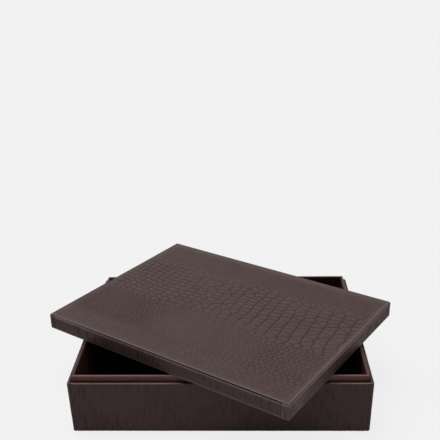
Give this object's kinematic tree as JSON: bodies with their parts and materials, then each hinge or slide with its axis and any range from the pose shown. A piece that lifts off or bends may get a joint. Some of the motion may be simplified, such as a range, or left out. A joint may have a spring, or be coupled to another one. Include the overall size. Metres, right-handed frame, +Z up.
{
  "type": "stationery box",
  "caption": "Low rectangular leather-covered box for A4 papers, with an inner neck and a flat lift-off lid lying askew on it.",
  "frame": {"origin": "middle of the base's underside, on the surface it rests on", "axes": "+X along the box's width to the right, +Y along its depth to the back, +Z up; the lid lies askew, turned 33.1 degrees clockwise seen from above"},
  "size_m": [0.41, 0.386, 0.0903],
  "materials": {
    "cover_leather": "crocodile-grain embossed, dark brown, satin",
    "neck_leather": "smooth, dark oxblood, satin",
    "lining_suede": "short-napped suede cloth, very dark brown",
    "underside_felt": "matt felt, dark brown",
    "greyboard": "pressed board, hidden under the leather"
  },
  "bodies": {
    "base": {"base_board": "greyboard", "underside_pad": "underside_felt", "floor_panel": "lining_suede", "wall_board_front": "greyboard", "wall_board_right": "greyboard", "wall_board_back": "greyboard", "wall_board_left": "greyboard", "side_panel_front": "cover_leather", "side_panel_right": "cover_leather", "side_panel_back": "cover_leather", "side_panel_left": "cover_leather", "neck_board_front": "greyboard", "neck_board_right": "greyboard", "neck_board_back": "greyboard", "neck_board_left": "greyboard", "neck_leather_front": "neck_leather", "neck_leather_right": "neck_leather", "neck_leather_back": "neck_leather", "neck_leather_left": "neck_leather"},
    "lid": {"lid_board": "greyboard", "lid_top_panel": "cover_leather", "lid_top_lining": "lining_suede", "lid_wall_board_front": "greyboard", "lid_wall_board_right": "greyboard", "lid_wall_board_back": "greyboard", "lid_wall_board_left": "greyboard", "lid_side_panel_front": "cover_leather", "lid_side_panel_right": "cover_leather", "lid_side_panel_back": "cover_leather", "lid_side_panel_left": "cover_leather", "lid_wall_lining_front": "lining_suede", "lid_wall_lining_right": "lining_suede", "lid_wall_lining_back": "lining_suede", "lid_wall_lining_left": "lining_suede"}
  },
  "joints": [
    {"name": "lid_lift", "type": "slide", "parent": "base", "child": "lid", "axis": [0, 0, 1], "range_m": [0, 0.15]}
  ]
}
